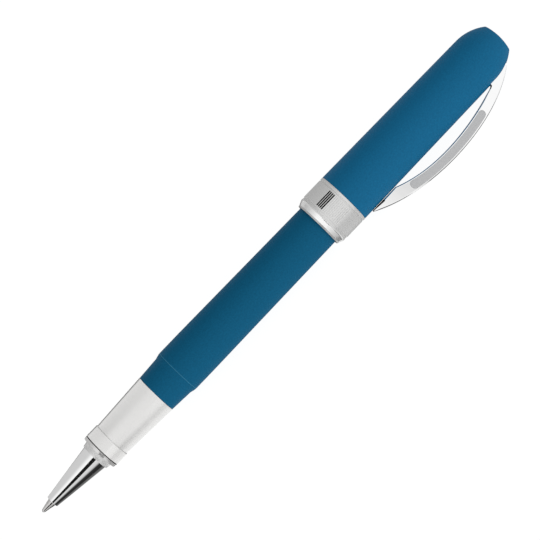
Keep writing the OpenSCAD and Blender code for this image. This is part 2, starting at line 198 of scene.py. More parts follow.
def rounded(outline, steps=5):
    """An outline of (x, r) or (x, r, fillet) corners, with each fillet drawn as an arc.

    A fillet takes up less than half of each side next to it, so that neighbours never meet.
    """
    most = 0.49
    made = []
    count = len(outline)
    for i, corner in enumerate(outline):
        here = Vector(corner[:2])
        fillet = corner[2] if len(corner) > 2 else 0
        back = Vector(outline[i - 1][:2]) - here
        on = Vector(outline[(i + 1) % count][:2]) - here
        if not fillet or back.length < TINY or on.length < TINY:
            made.append(tuple(here))
            continue
        half = back.angle(on) / 2
        reach = min(fillet / math.tan(half), most * back.length, most * on.length)
        radius = reach * math.tan(half)
        first = here + back.normalized() * reach
        last = here + on.normalized() * reach
        middle = (back.normalized() + on.normalized()).normalized()
        centre = here + middle * (radius / math.sin(half))
        for k in range(steps + 1):
            spoke = (first - centre).normalized().slerp((last - centre).normalized(), k / steps)
            made.append(tuple(centre + radius * spoke))
    return made


# ---- Meshes ------------------------------------------------------------------------------------

def outward(bm):
    """bm with every face turned to the outside of its closed shape."""
    bmesh.ops.recalc_face_normals(bm, faces=bm.faces)
    if bm.calc_volume(signed=True) < 0:
        bmesh.ops.reverse_faces(bm, faces=bm.faces)
    return bm


def finished(name, bm, body, material, nodes=()):
    """A piece made from bm, smooth but for its sharp edges, riding on a body in place of nodes."""
    bmesh.ops.remove_doubles(bm, verts=bm.verts, dist=MERGE)
    outward(bm)
    for face in bm.faces:
        face.smooth = True
    for edge in bm.edges:
        if len(edge.link_faces) == 2 and edge.calc_face_angle() > SHARP:
            edge.smooth = False
    mesh = bpy.data.meshes.new(name)
    bm.to_mesh(mesh)
    bm.free()
    piece = bpy.data.objects.new(name, mesh)
    bpy.context.scene.collection.objects.link(piece)
    mesh.materials.append(material)
    normals = piece.modifiers.new("normals", "WEIGHTED_NORMAL")
    normals.keep_sharp = True
    if body:
        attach(piece, body)
    if nodes:
        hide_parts(*nodes)
    return piece


def faced(piece, material, chosen):
    """Gives piece one more material, on each face that chosen(x, radius, normal) picks."""
    piece.data.materials.append(material)
    for face in piece.data.polygons:
        offset = (face.center - ORIGIN) / MM
        radius = math.hypot(offset.dot(CLIP), offset.dot(SIDE))
        if chosen(offset.dot(ALONG), radius, face.normal):
            face.material_index = len(piece.data.materials) - 1
    return piece


def lathe(outline, segments=SEGMENTS):
    """A bmesh turned round the pen's axis from a closed half outline of (x, r) points."""
    bm = bmesh.new()
    rings = []
    for x, r in outline:
        if r < TINY:
            rings.append([bm.verts.new(place(x))])
            continue
        angles = [2 * math.pi * i / segments for i in range(segments)]
        rings.append([bm.verts.new(place(x, r * math.cos(a), r * math.sin(a))) for a in angles])
    for one, other in zip(rings, rings[1:] + rings[:1]):
        if len(one) == len(other) == 1:
            continue
        for i in range(segments):
            k = (i + 1) % segments
            if len(one) == 1:
                bm.faces.new((one[0], other[i], other[k]))
            elif len(other) == 1:
                bm.faces.new((one[i], one[k], other[0]))
            else:
                bm.faces.new((one[i], one[k], other[k], other[i]))
    return bm


def turned(name, outline, body, material, nodes, steps=5):
    """A turned piece with filleted corners."""
    return finished(name, lathe(rounded(outline, steps)), body, material, nodes)


def slab(outline, width, shift=0.0, bevel=0.0):
    """A bmesh of an outline in the clip's plane, width thick across the pen.

    Its middle is a shift across from the axis, and its rims are rounded off by bevel.
    """
    bm = bmesh.new()
    loops = []
    for across in (shift - width / 2, shift + width / 2):
        loops.append([bm.verts.new(place(x, height, across)) for x, height in outline])
    low = bm.faces.new(loops[0])
    high = bm.faces.new(reversed(loops[1]))
    count = len(outline)
    for i in range(count):
        k = (i + 1) % count
        bm.faces.new((loops[0][i], loops[0][k], loops[1][k], loops[1][i]))
    outward(bm)
    if bevel:
        rims = list(low.edges) + list(high.edges)
        bmesh.ops.bevel(
            bm, geom=rims, offset=bevel * MM, offset_type="OFFSET", segments=3,
            profile=0.5, affect="EDGES", clamp_overlap=True,
        )
    return bm


def bevelled(outline, insets, width):
    """A bmesh like slab's, with its rims rounded by an inset of its own at each outline point."""
    steps = 5
    count = len(outline)
    turn = sum(outline[i - 1][0] * outline[i][1] - outline[i][0] * outline[i - 1][1]
               for i in range(count))
    inward = []
    for i in range(count):
        here = Vector(outline[i])
        back = (here - Vector(outline[i - 1])).normalized()
        on = (Vector(outline[(i + 1) % count]) - here).normalized()
        normals = [Vector((-edge.y, edge.x)) * math.copysign(1, turn) for edge in (back, on)]
        mitre = max(0.5, 1 + normals[0].dot(normals[1]))
        inward.append((normals[0] + normals[1]) / mitre)
    turns = [math.pi / 2 * k / steps for k in range(steps + 1)]
    profile = [(-1, a) for a in turns] + [(1, a) for a in reversed(turns)]
    bm = bmesh.new()
    loops = []
    for side, a in profile:
        loop = []
        for (x, height), inset, into in zip(outline, insets, inward):
            step = into * inset * (1 - math.sin(a))
            across = side * (width / 2 - inset * (1 - math.cos(a)))
            loop.append(bm.verts.new(place(x + step.x, height + step.y, across)))
        loops.append(loop)
    for one, other in zip(loops, loops[1:]):
        for i in range(count):
            k = (i + 1) % count
            bm.faces.new((one[i], one[k], other[k], other[i]))
    bm.faces.new(reversed(loops[0]))
    bm.faces.new(loops[-1])
    return outward(bm)


def carved(bm, cutters):
    """bm with each cutter, itself a bmesh, taken out of it."""
    mesh = bpy.data.meshes.new("carved")
    bm.to_mesh(mesh)
    bm.free()
    body = bpy.data.objects.new("carved", mesh)
    bpy.context.scene.collection.objects.link(body)
    tools = []
    for cutter in cutters:
        outward(cutter)
        tool_mesh = bpy.data.meshes.new("cutter")
        cutter.to_mesh(tool_mesh)
        cutter.free()
        tool = bpy.data.objects.new("cutter", tool_mesh)
        bpy.context.scene.collection.objects.link(tool)
        cut = body.modifiers.new("cut", "BOOLEAN")
        cut.operation = "DIFFERENCE"
        cut.solver = "EXACT"
        cut.object = tool
        tools.append(tool)
    bpy.context.view_layer.update()
    shape = body.evaluated_get(bpy.context.evaluated_depsgraph_get()).to_mesh()
    made = bmesh.new()
    made.from_mesh(shape)
    for thing in [body, *tools]:
        bpy.data.objects.remove(thing)
    return made


def helix_ridge(x0, x1, back_r, face_r, crest_r, start_x, pitch, turns, foot, crest):
    """A bmesh of a ring from x0 to x1 with a helical ridge on its face.

    back_r is the ring's other side, face_r its face and crest_r the ridge's top. The ridge is
    2 * foot wide at the face and 2 * crest at its top. Each row of vertices crosses the ring from
    end to end, and one row follows the other round the pen.
    """
    bm = bmesh.new()
    segments = 96
    per_pitch = 16
    fade = 0.4  # turns over which the ridge rises at its start and sinks at its end
    rows = []
    length = x1 - x0
    columns = round(length / pitch * per_pitch)
    for i in range(segments):
        turn = i / segments
        angle = 2 * math.pi * turn
        row = []
        for k in range(columns + 1):
            x = x0 + length * k / columns
            along = (x - start_x) / pitch - turn
            nearest = round(along)
            offset = abs(along - nearest) * pitch
            q = nearest + turn
            grown = max(0.0, min(1.0, q / fade, (turns - q) / fade))
            flank = max(0.0, min(1.0, (foot - offset) / (foot - crest)))
            r = face_r + (crest_r - face_r) * flank * grown
            row.append(bm.verts.new(place(x, r * math.cos(angle), r * math.sin(angle))))
        for x in (x1, x0):
            row.append(bm.verts.new(place(x, back_r * math.cos(angle), back_r * math.sin(angle))))
        rows.append(row)
    for one, other in zip(rows, rows[1:] + rows[:1]):
        for k in range(len(one)):
            n = (k + 1) % len(one)
            bm.faces.new((one[k], other[k], other[n], one[n]))
    return bm


# ---- Materials ---------------------------------------------------------------------------------

class Shader:
    """A Principled material whose inputs can be fed from procedural noise."""

    def __init__(self, name, metallic=0.0, roughness=0.5, ior_level=0.5):
        self.material = bpy.data.materials.new(name)
        self.material.use_nodes = True
        self.nodes = self.material.node_tree.nodes
        self.links = self.material.node_tree.links
        self.bsdf = self.nodes["Principled BSDF"]
        self.bsdf.inputs["Metallic"].default_value = metallic
        self.bsdf.inputs["Roughness"].default_value = roughness
        self.bsdf.inputs["Specular IOR Level"].default_value = ior_level
        self.place = self.nodes.new("ShaderNodeTexCoord").outputs["Object"]

    def noise(self, size, detail=2.0, stretch=(1, 1, 1)):
        """Noise with grains of about size millimetres, longer along an axis by its stretch."""
        mapping = self.nodes.new("ShaderNodeMapping")
        mapping.inputs["Scale"].default_value = [1 / s for s in stretch]
        self.links.new(self.place, mapping.inputs["Vector"])
        texture = self.nodes.new("ShaderNodeTexNoise")
        texture.inputs["Scale"].default_value = 1 / (size * MM)
        texture.inputs["Detail"].default_value = detail
        self.links.new(mapping.outputs["Vector"], texture.inputs["Vector"])
        return texture.outputs["Fac"]

    def colour(self, source, dark, light):
        """The base colour runs from dark to light with source."""
        ramp = self.nodes.new("ShaderNodeValToRGB")
        for stop, at, shade in zip(ramp.color_ramp.elements, (0.3, 0.7), (dark, light)):
            stop.position = at
            stop.color = (*shade, 1)
        self.links.new(source, ramp.inputs["Fac"])
        self.links.new(ramp.outputs["Color"], self.bsdf.inputs["Base Color"])

    def roughness(self, source, low, high):
        """The roughness runs from low to high with source."""
        spread = self.nodes.new("ShaderNodeMapRange")
        spread.inputs["From Min"].default_value = 0.25
        spread.inputs["From Max"].default_value = 0.75
        spread.inputs["To Min"].default_value = low
        spread.inputs["To Max"].default_value = high
        self.links.new(source, spread.inputs["Value"])
        self.links.new(spread.outputs["Result"], self.bsdf.inputs["Roughness"])

    def bump(self, source, depth):
        """Bumps of about depth millimetres from source."""
        node = self.nodes.new("ShaderNodeBump")
        node.inputs["Strength"].default_value = 1.0
        node.inputs["Distance"].default_value = depth * MM
        self.links.new(source, node.inputs["Height"])
        self.links.new(node.outputs["Normal"], self.bsdf.inputs["Normal"])


def tint(colour, factor):
    """A colour made lighter or darker by a factor."""
    return tuple(min(1.0, c * factor) for c in colour)


def soft_blue(name, colour, ior_level):
    """Matt blue lacquer with a fine grain."""
    shader = Shader(name, roughness=0.42, ior_level=ior_level)
    grain = shader.noise(0.35, detail=4)
    shader.colour(grain, tint(colour, 0.9), tint(colour, 1.1))
    shader.roughness(shader.noise(0.9, detail=3), 0.38, 0.48)
    shader.bump(shader.noise(0.16, detail=2), 0.008)
    return shader.material


def metal(name, colour, low, high, grain=0.3, stretch=(1, 12, 12), depth=0.0, spread=0.04):
    """Metal whose colour and roughness vary a little in fine rings, drawn out by stretch."""
    shader = Shader(name, metallic=1.0)
    rings = shader.noise(grain, detail=3, stretch=stretch)
    shader.colour(rings, tint(colour, 1 - spread), tint(colour, 1 + spread))
    shader.roughness(shader.noise(grain * 3, detail=3, stretch=stretch), low, high)
    if depth:
        shader.bump(rings, depth)
    return shader.material


def satin(name, colour, metallic, low, high):
    """Satin plated metal, part of which scatters light as a matt surface does."""
    shader = Shader(name, metallic=metallic, ior_level=0.4)
    rings = shader.noise(0.12, detail=3, stretch=(1, 20, 20))
    shader.colour(rings, tint(colour, 0.985), tint(colour, 1.015))
    shader.roughness(shader.noise(0.5, detail=3, stretch=(1, 6, 6)), low, high)
    shader.bump(rings, 0.0008)
    return shader.material


def moulded(name, colour, roughness, grain=0.25, depth=0.004):
    """Moulded plastic or fibre with a fine grain."""
    shader = Shader(name, roughness=roughness, ior_level=0.4)
    noise = shader.noise(grain, detail=3)
    shader.colour(noise, tint(colour, 0.85), tint(colour, 1.15))
    shader.roughness(shader.noise(grain * 2), roughness - 0.06, roughness + 0.06)
    shader.bump(noise, depth)
    return shader.material


BARREL_BLUE = (0.0048, 0.1, 0.2)
# The cap's blue is the barrel's blue painted about 1.3 times lighter: painted light for the stronger
# light that falls on the cap.
CAP_BLUE_PAINTED_LIGHTER = (0.0062, 0.127, 0.265)
# A lighter blue for the barrel's front edge: a painted highlight along the edge that catches the light.
EDGE_HIGHLIGHT_BLUE = (0.03, 0.19, 0.32)

blue_barrel = soft_blue("blue_barrel", BARREL_BLUE, 0.04)
blue_cap_painted_lighter = soft_blue("blue_cap_painted_lighter", CAP_BLUE_PAINTED_LIGHTER, 0.065)
blue_edge_highlight = soft_blue("blue_edge_highlight", EDGE_HIGHLIGHT_BLUE, 0.1)
chrome = metal("polished_chrome", (0.93, 0.93, 0.93), 0.03, 0.06, grain=0.5, spread=0.01)
cone_chrome = metal("cone_chrome", (0.93, 0.93, 0.93), 0.02, 0.04, grain=0.5, spread=0.01)
section_silver = satin("section_silver", (0.80, 0.795, 0.785), 0.6, 0.12, 0.16)
ring_silver = satin("ring_silver", (0.72, 0.715, 0.71), 0.6, 0.14, 0.2)
band_silver = satin("band_silver", (0.73, 0.73, 0.725), 0.36, 0.22, 0.3)
mouth_silver = satin("mouth_silver", (0.92, 0.92, 0.915), 0.85, 0.14, 0.2)
# A darker copy of the band's silver for its lip: a painted reflection of the dark that the lip's face
# shows.
lip_painted_shade = satin("lip_painted_shade", (0.52, 0.52, 0.515), 0.36, 0.2, 0.3)
# A near-black used as painted shade in grooves, gaps and the cap's mouth, and as painted shadow under
# the clip.
painted_shade_black = metal("painted_shade_black", (0.02, 0.02, 0.02), 0.4, 0.6)
grey_enamel = moulded("grey_enamel", (0.54, 0.54, 0.542), 0.3, grain=0.12, depth=0.002)
brass = metal("brass", (0.78, 0.57, 0.28), 0.16, 0.26, depth=0.001)
spring_steel = metal("spring_steel", (0.62, 0.61, 0.6), 0.2, 0.3)
magnet_metal = metal("magnet_metal", (0.55, 0.55, 0.56), 0.25, 0.4)
refill_metal = metal("refill_metal", (0.7, 0.7, 0.71), 0.2, 0.3)
point_metal = metal("point_metal", (0.62, 0.61, 0.60), 0.05, 0.1, grain=0.15)
carbide = metal("carbide", (0.45, 0.45, 0.47), 0.1, 0.2, grain=0.1, stretch=(1, 1, 1))
black_plastic = moulded("black_plastic", (0.02, 0.02, 0.022), 0.45)
fibre = moulded("fibre", (0.72, 0.70, 0.62), 0.9, grain=0.2, depth=0.02)


# ---- Point, nose cone and section --------------------------------------------------------------

ball_low, ball_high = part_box("writing_ball")
ball_r = (ball_high.x - ball_low.x) / 2 / MM


def point_piece():
    """The metal point: a stepped cone whose crimped edge holds the ball."""
    seat_r = ball_r + 0.01
    bore = 0.55
    turned("refill_point_detail", [
        (ball_r - 0.01, seat_r), (ball_r - 0.15, ball_r + 0.045, 0.02),
        (ball_r + 0.1, ball_r + 0.15, 0.05), (nose_x - 0.9, 0.9, 0.05), (nose_x - 0.85, 0.935, 0.04),
        (nose_x - 0.1, 1.08, 0.05), (nose_x, 1.15, 0.05), (8, 1.15), (8, 0.95), (12, 0.95),
        (12, bore), (8, bore), (1, 0.25), (0.8, seat_r),
    ], "refill", point_metal, ["refill_point"])


def ball_piece():
    """The writing ball."""
    rows = 24
    outline = [(ball_r * (1 - math.cos(math.pi * i / rows)), ball_r * math.sin(math.pi * i / rows))
               for i in range(rows + 1)]
    outline[0] = (0.0, 0.0)
    outline[-1] = (2 * ball_r, 0.0)
    finished("writing_ball_detail", lathe(outline, 48), "ball", carbide, ["writing_ball"])


def nose_piece():
    """The polished nose cone, with its shoulder and the spigot that the section sits on."""
    shoulder = NOSE_BACK_R + 0.3
    spigot = 3.9
    bore = 3.25
    point_bore = 1.22
    spigot_end = ring_end + 6
    nose = turned("nose_cone_detail", [
        (nose_x, point_bore, 0.03), (nose_x, NOSE_FRONT_R, 0.09), (nose_end, NOSE_BACK_R, 0.03),
        (nose_end, shoulder, 0.07), (shoulder_end, shoulder + 0.17, 0.06), (shoulder_end, spigot),
        (spigot_end, spigot), (spigot_end, bore), (20, bore), (17.2, 2.8), (9, 1.4), (8, point_bore),
    ], "section", cone_chrome, ["nose_cone"])
    faced(nose, band_silver, lambda x, r, normal: x > nose_end + 0.03 and r > NOSE_BACK_R)


def ring_piece():
    """The trim ring behind the nose cone, with the dark groove between it and the grip."""
    groove_x = ring_end - 0.14
    groove_r = 4.3
    rim = FRONT_BAND_R - 0.01
    ring = turned("trim_ring_detail", [
        (ring_x, SPIGOT_BORE), (ring_x, FRONT_BAND_R - 0.14, 0.06),
        (groove_x - 0.06, rim, 0.03), (groove_x, rim, 0.03),
        (groove_x, groove_r), (ring_end, groove_r), (ring_end, SPIGOT_BORE),
    ], "section", ring_silver, ["trim_ring"])
    # Painted shade: the groove's faces are coloured black.
    faced(ring, painted_shade_black, lambda x, r, normal: x > groove_x - 0.02 and r < FRONT_BAND_R - 0.1)


def grip_piece():
    """The metal grip: a raised front band, and a taper that widens to the back."""
    band = FRONT_BAND_R
    gap = 0.07  # between the trim ring and the front band
    tenon_r = 4.95
    tenon_end = collar_x + 2.2
    back_x = collar_x - 0.02
    bore = 3.3
    thread_bore, thread_x = 4.07, 34
    seat_x = ring_end + 6.1
    shell = turned("section_shell_detail", [
        (ring_end, SPIGOT_BORE), (ring_end, 4.1), (ring_end + gap, 4.1), (ring_end + gap, band, 0.06),
        (band_end, band), (band_end + 0.19, GRIP_FRONT_R + 0.01), (back_x, GRIP_BACK_R, 0.05),
        (back_x, tenon_r), (tenon_end, tenon_r), (tenon_end, thread_bore), (thread_x, thread_bore),
        (thread_x, bore), (seat_x, bore), (seat_x, SPIGOT_BORE),
    ], "section", section_silver, ["section_shell"])
    # Painted shade: the faces in the gap at the trim ring are coloured black.
    faced(shell, painted_shade_black, lambda x, r, normal: x < ring_end + 0.08 and r < band - 0.15)


def collar_piece():
    """The blue collar that the cap's mouth closes on, almost up against the barrel."""
    edge_x = barrel_x - 0.02
    bore = 4.97
    turned("section_collar_detail", [
        (collar_x, bore), (collar_x, barrel_r - 0.66, 0.08), (joint_x - 1.4, barrel_r - 0.35, 0.6),
        (joint_x - 0.1, barrel_r - 0.03, 0.3), (edge_x, barrel_r - 0.04, 0.02), (edge_x, bore),
    ], "section", blue_barrel, ["section_collar"])


# ---- Barrel ------------------------------------------------------------------------------------

def barrel_piece():
    """The matt barrel, straight at the front and tapered to its tail."""
    bore = 4.3
    seat_r = insert_r + 0.02
    seat_end = barrel_x + 10.4
    blend_r = 40  # fillet between the straight front and the taper
    barrel = turned("barrel_shell_detail", [
        (barrel_x, seat_r), (barrel_x, barrel_r - 0.04), (barrel_x + 0.14, barrel_r, 0.1),
        (taper_x, barrel_r, blend_r), (tube_end, barrel_radius(tube_end), 0.03), (tube_end, bore),
        (seat_end, bore), (seat_end, seat_r),
    ], "barrel", blue_barrel, ["barrel_shell"], steps=8)
    # Painted highlight: the barrel's front edge gets the lighter blue.
    faced(barrel, blue_edge_highlight, lambda x, r, normal: x < barrel_x + 0.15 and r > barrel_r - 0.05)


def tail_piece():
    """The plug that closes the barrel's tail, with a soft edge."""
    edge = 1.2
    r = barrel_radius(tube_end)
    neck_r = 4.28
    rim_x = tube_end + 0.02
    corner = arc(barrel_end - edge, r - edge, edge, 90, 0, 12)
    outline = [(plug_x, 0), (plug_x, neck_r), (rim_x, neck_r), (rim_x, r, 0.04)]
    turned("barrel_tail_detail", outline + corner + [(barrel_end, 0)],
           "barrel", blue_barrel, ["barrel_tail_plug"])


def spring_piece():
    """The spring behind the refill. On the pen it stretches as the refill moves away from the barrel;
    here it is built at one length.
    """
    coils = 5
    coil_r = 2.3
    wire_r = 0.25
    sides = 12
    per_turn = 40
    closed = 0.75  # turns at each end that lie flat on each other
    first = spring_x + wire_r
    travel = spring_end - spring_x - 2 * wire_r
    lead = 2 * wire_r * closed
    turns = coils + 2 * closed
    bm = bmesh.new()
    rings = []
    for i in range(round(turns * per_turn) + 1):
        turn = i / per_turn
        if turn < closed:
            x = first + lead * turn / closed
        elif turn > turns - closed:
            x = first + travel - lead * (turns - turn) / closed
        else:
            x = first + lead + (travel - 2 * lead) * (turn - closed) / coils
        angle = 2 * math.pi * turn
        ring = []
        for k in range(sides):
            side = 2 * math.pi * k / sides
            r = coil_r + wire_r * math.cos(side)
            ring.append(bm.verts.new(place(
                x + wire_r * math.sin(side), r * math.cos(angle), r * math.sin(angle),
            )))
        rings.append(ring)
    for one, other in zip(rings, rings[1:]):
        for k in range(sides):
            n = (k + 1) % sides
            bm.faces.new((one[k], one[n], other[n], other[k]))
    bm.faces.new(rings[0])
    bm.faces.new(rings[-1])
    piece = finished("refill_spring_detail", bm, None, spring_steel)
    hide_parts("refill_spring")
    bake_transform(piece)


# ---- Cap ---------------------------------------------------------------------------------------

LIP_END = mouth_x + 0.44
MOUTH_END = mouth_x + 1.7
LIP_BACK_R = 5.9  # between the lip's face and its bore


def band_outline():
    """Half section of the metal band: chamfered mouth, turned grooves and hidden spigot."""
    mouth_bore = 5.78
    bore = 6.12
    magnet_bore = 6.64
    spigot_r = 6.43
    groove_r = band_r - 0.14
    front = mouth_x + 1.95
    back = mouth_x + 7.8
    edge = 0.05
    gap_x, gap_r = cap_x - 0.03, 6.5  # the thin dark gap between band and cap
    magnet_x, magnet_end, _ = span("closure_magnet")
    liner_x = span("cap_liner")[0]
    return [
        (mouth_x, mouth_bore, 0.1), (mouth_x, band_r - 0.66, 0.09),
        (mouth_x + 0.45, band_r - 0.56, 0.05), (mouth_x + 1.5, band_r - 0.08, 0.6),
        (front - edge, band_r - 0.02, 0.05), (front, groove_r), (front + 0.6, groove_r),
        (front + 0.65, band_r, 0.05), (back - edge, band_r, 0.05), (back, groove_r),
        (back + 0.25, groove_r), (back + 0.3, band_r, 0.05), (gap_x, band_r, 0.05),
        (gap_x, gap_r), (cap_x, gap_r), (cap_x, spigot_r), (band_spigot_x, spigot_r),
        (band_spigot_x, bore), (magnet_end + edge, bore), (magnet_end + edge, magnet_bore),
        (magnet_x - edge, magnet_bore), (magnet_x - edge, bore), (liner_x, bore),
        (liner_x, mouth_bore),
    ]


def reed_cutter(angle, half_w, depth, in_painted_shade):
    """A wedge that engraves one line, at an angle in degrees from the clip."""
    length = 4.6
    start = mouth_x + 2.9
    over = 0.1
    wide = half_w * (1 + over / depth)
    a = math.radians(angle)
    out = (math.cos(a), math.sin(a))
    across = (-math.sin(a), math.cos(a))
    bm = bmesh.new()
    corners = []
    for x in (start, start + length):
        triangle = []
        for r, w in ((band_r + over, wide), (band_r + over, -wide), (band_r - depth, 0)):
            triangle.append(bm.verts.new(place(
                x, r * out[0] + w * across[0], r * out[1] + w * across[1],
            )))
        corners.append(triangle)
    bm.faces.new(corners[0])
    bm.faces.new(corners[1])
    for i in range(3):
        k = (i + 1) % 3
        bm.faces.new((corners[0][i], corners[0][k], corners[1][k], corners[1][i]))
    # Faces of a deep line get the black of painted shade.
    for face in bm.faces:
        face.material_index = int(in_painted_shade)
    return bm


def band_piece():
    """The cap's metal band, with a patch of engraved lines on each side.

    Four lines of each patch are cut deep and coloured black as painted shade in their grooves, and the
    others are fine.
    """
    count = 14
    deep = 4
    step = 4.2  # degrees
    first = 29.6  # degrees from straight over the pen's side
    deep_cut, fine_cut = (0.175, 0.3), (0.12, 0.05)  # half width and depth
    patches = []
    for in_painted_shade in (True, False):
        cutters = bmesh.new()
        for side in (90, 270):
            for i in range(count):
                if (i < deep) != in_painted_shade:
                    continue
                angle = side + first - i * step
                wedge = reed_cutter(angle, *(deep_cut if in_painted_shade else fine_cut), in_painted_shade)
                mesh = bpy.data.meshes.new("wedge")
                wedge.to_mesh(mesh)
                wedge.free()
                cutters.from_mesh(mesh)
                bpy.data.meshes.remove(mesh)
        patches.append(cutters)
    band = carved(lathe(rounded(band_outline())), patches)
    piece = finished("cap_band_detail", band, "cap", band_silver, ["cap_band"])
    piece.data.materials.append(painted_shade_black)
    faced(piece, mouth_silver, lambda x, r, normal: LIP_END < x < MOUTH_END and r > LIP_BACK_R)
    # Painted reflection: the lip's face gets the darker grey.
    faced(piece, lip_painted_shade, lambda x, r, normal: x < LIP_END and r > LIP_BACK_R)
    # Painted shade: the mouth's front face and bore are coloured black for the shade inside the cap's
    # mouth.
    faced(piece, painted_shade_black,
          lambda x, r, normal: x < mouth_x + 0.02 or x < mouth_x + 2 and r < LIP_BACK_R)


def cap_piece():
    """The matt cap with its dome, and the slot that the clip's root passes through."""
    drop = CAP_TOP_R - CAP_END_R
    dome_r = (DOME_LEN**2 + drop**2) / 2 / drop
    sweep = math.degrees(math.asin(DOME_LEN / dome_r))
    dome = arc(dome_x, CAP_TOP_R - dome_r, dome_r, 90, 90 - sweep, 28)
    dome[-1] = (*dome[-1], 0.18)
    disc_bore = finial_r + 0.05
    end = [(end_face_x(disc_bore), disc_bore, 0.04)]
    deep_x, step_x, seat_x = 142.1, 124.1, cap_x + 3
    deep_r, tip_r, liner_r, seat_r = 4.4, 5.25, 6.12, 6.45
    inner = [
        (finial_x, disc_bore), (finial_x, deep_r), (deep_x, deep_r), (deep_x, tip_r),
        (step_x, tip_r), (step_x, liner_r), (seat_x, liner_r), (seat_x, seat_r), (cap_x, seat_r),
    ]
    outline = rounded([(cap_x, cap_radius(cap_x) - 0.01, 0.06)] + dome + end + inner, 6)
    slot_x = clip_pivot_x - 2.55
    slot_end = slot_x + 6.5
    slot_w = CLIP_W + 0.2
    low, high = 3.0, 8.0
    slot = [(slot_x, low), (slot_end, low), (slot_end, high), (slot_x, high)]
    cap = carved(lathe(outline), [slab(slot, slot_w)])
    finished("cap_shell_detail", cap, "cap", blue_cap_painted_lighter, ["cap_shell"])


def finial_piece():
    """The disc let into the cap's end."""
    steps = 12
    face = [(end_face_x(finial_r * (1 - i / steps)), finial_r * (1 - i / steps))
            for i in range(steps + 1)]
    face[0] = (*face[0], 0.04)
    turned("cap_finial_detail", [(finial_x, 0), (finial_x, finial_r)] + face,
           "cap", blue_cap_painted_lighter, ["cap_finial"])


# ---- Clip --------------------------------------------------------------------------------------

foot_x = cap_x + 2.5
foot_r = cap_radius(foot_x + 4) + 0.08  # the foot just clears the cap
foot_end = foot_x + PAD_LEN


def crown(top, a, b):
    """Height of the two middle control points of a curve that rises to top between a and b."""
    return top * 4 / 3 - (a + b) / 6


def height_at(curve, x):
    """Height of a curve at x."""
    for (x0, h0), (x1, h1) in zip(curve, curve[1:]):
        if x0 <= x <= x1:
            return h0 + (h1 - h0) * (x - x0) / (x1 - x0)
    return curve[-1][1]


def clip_edges():
    """The bow's outer and inner edges, as Bezier curves from its foot to where it enters the cap.

    Control points are placed from the foot's front and from the pen's end.
    """
    outer_end, inner_end = 6.1, 7.43  # heights of the edges' last points
    foot_top = foot_r + 0.3
    outer_crown = crown(CLIP_RISE, foot_top, outer_end)
    inner_crown = crown(CLIP_RISE - CLIP_T, foot_r, inner_end)
    outer = bezier((foot_x, foot_top), (foot_x + 11.85, outer_crown),
                   (pen_end - 15, outer_crown), (pen_end - 3.85, outer_end), 72)
    inner = bezier((foot_x + 7.7, foot_r), (foot_x + 16.1, inner_crown),
                   (pen_end - 23.2, inner_crown), (pen_end - 11.9, inner_end), 64)
    return outer, inner


def clip_outline():
    """Side view of the clip, with its root that runs down into the cap and round the pin."""
    outer, inner = clip_edges()
    heel = arc(clip_pivot_x, clip_pivot_height, HEEL_R, 20, -180, 20)
    throat = [(clip_pivot_x + x, clip_pivot_height + h, fillet)
              for x, h, fillet in ((-2.35, 3.6, 0.3), (-2.45, 4.15, 0.3), (-3.1, 4.45, 0.3))]
    pad = [(foot_end, foot_r), (foot_x + 0.15, foot_r)]
    made = rounded(pad + outer + heel + throat + inner[::-1])
    shortest = 1e-3
    return [p for i, p in enumerate(made) if math.dist(p, made[i - 1]) > shortest]


def clip_insets(outline):
    """How far the clip's rims are rounded off: most under its foot, and less towards its root."""
    outer, inner = clip_edges()
    under, foot, root, throat = 0.5, 0.36, 0.2, 0.12
    under_share, top_share = 0.55, 0.3  # the most that an inset takes of the bow's thickness
    under_end = foot_end + 0.9
    root_x = pen_end - 8
    throat_x = clip_pivot_x - 3.5
    ease = 3.0  # length before the throat over which the inset shrinks
    made = []
    for x, height in outline:
        low = height_at(inner, x) if x > inner[0][0] else foot_r
        top = height_at(outer, max(x, foot_x))
        thick = top - low if x < inner[-1][0] else CLIP_T
        if height - low < top - height:
            near = min(1.0, max(0.0, (x - throat_x) / ease + 1.0))
            full = under if x < under_end else foot + (throat - foot) * near
            made.append(min(full, under_share * thick))
        else:
            far = min(1.0, max(0.0, (x - foot_x) / (root_x - foot_x)))
            full = foot + (root - foot) * far
            made.append(min(full, top_share * thick))
    return made


def inlay_outline(shrink=0.0):
    """Side view of the grey panel, kept a border away from the bow's edges."""
    outer, inner = clip_edges()
    border = 0.4 + shrink
    from_x = foot_x + 10.3 + shrink
    to_x = pen_end - 15.2 - shrink
    round_end = 1.05  # fillet at each corner
    clear = 2.4  # length at each end that is left to the fillets
    count = 24
    stations = [from_x + clear + (to_x - from_x - 2 * clear) * i / count for i in range(count + 1)]

    def inside(curve, x, sign):
        """Height of the panel's edge, a border in from the curve at x."""
        near = 0.2
        slope = (height_at(curve, x + near) - height_at(curve, x - near)) / (2 * near)
        return height_at(curve, x) + sign * border * math.hypot(1, slope)

    top = [(x, inside(outer, x, -1)) for x in stations]
    low = [(x, inside(inner, x, 1)) for x in reversed(stations)]
    corners = []
    for x, curve, sign in ((from_x, inner, 1), (from_x, outer, -1), (to_x, outer, -1), (to_x, inner, 1)):
        corners.append((x, inside(curve, x, sign), round_end))
    return rounded(corners[:2] + top + corners[2:] + low, 10)


def painted_shadow_face(x, radius, normal):
    """Whether a face of the clip is one next to the cap, under its foot or at its root, that is coloured
    black as painted shadow.
    """
    at_foot = x < foot_end
    at_root = clip_pivot_x - 3.3 < x < clip_pivot_x - 2.0
    faces_cap = normal.dot(CLIP) < -0.12
    return (at_foot or at_root) and faces_cap


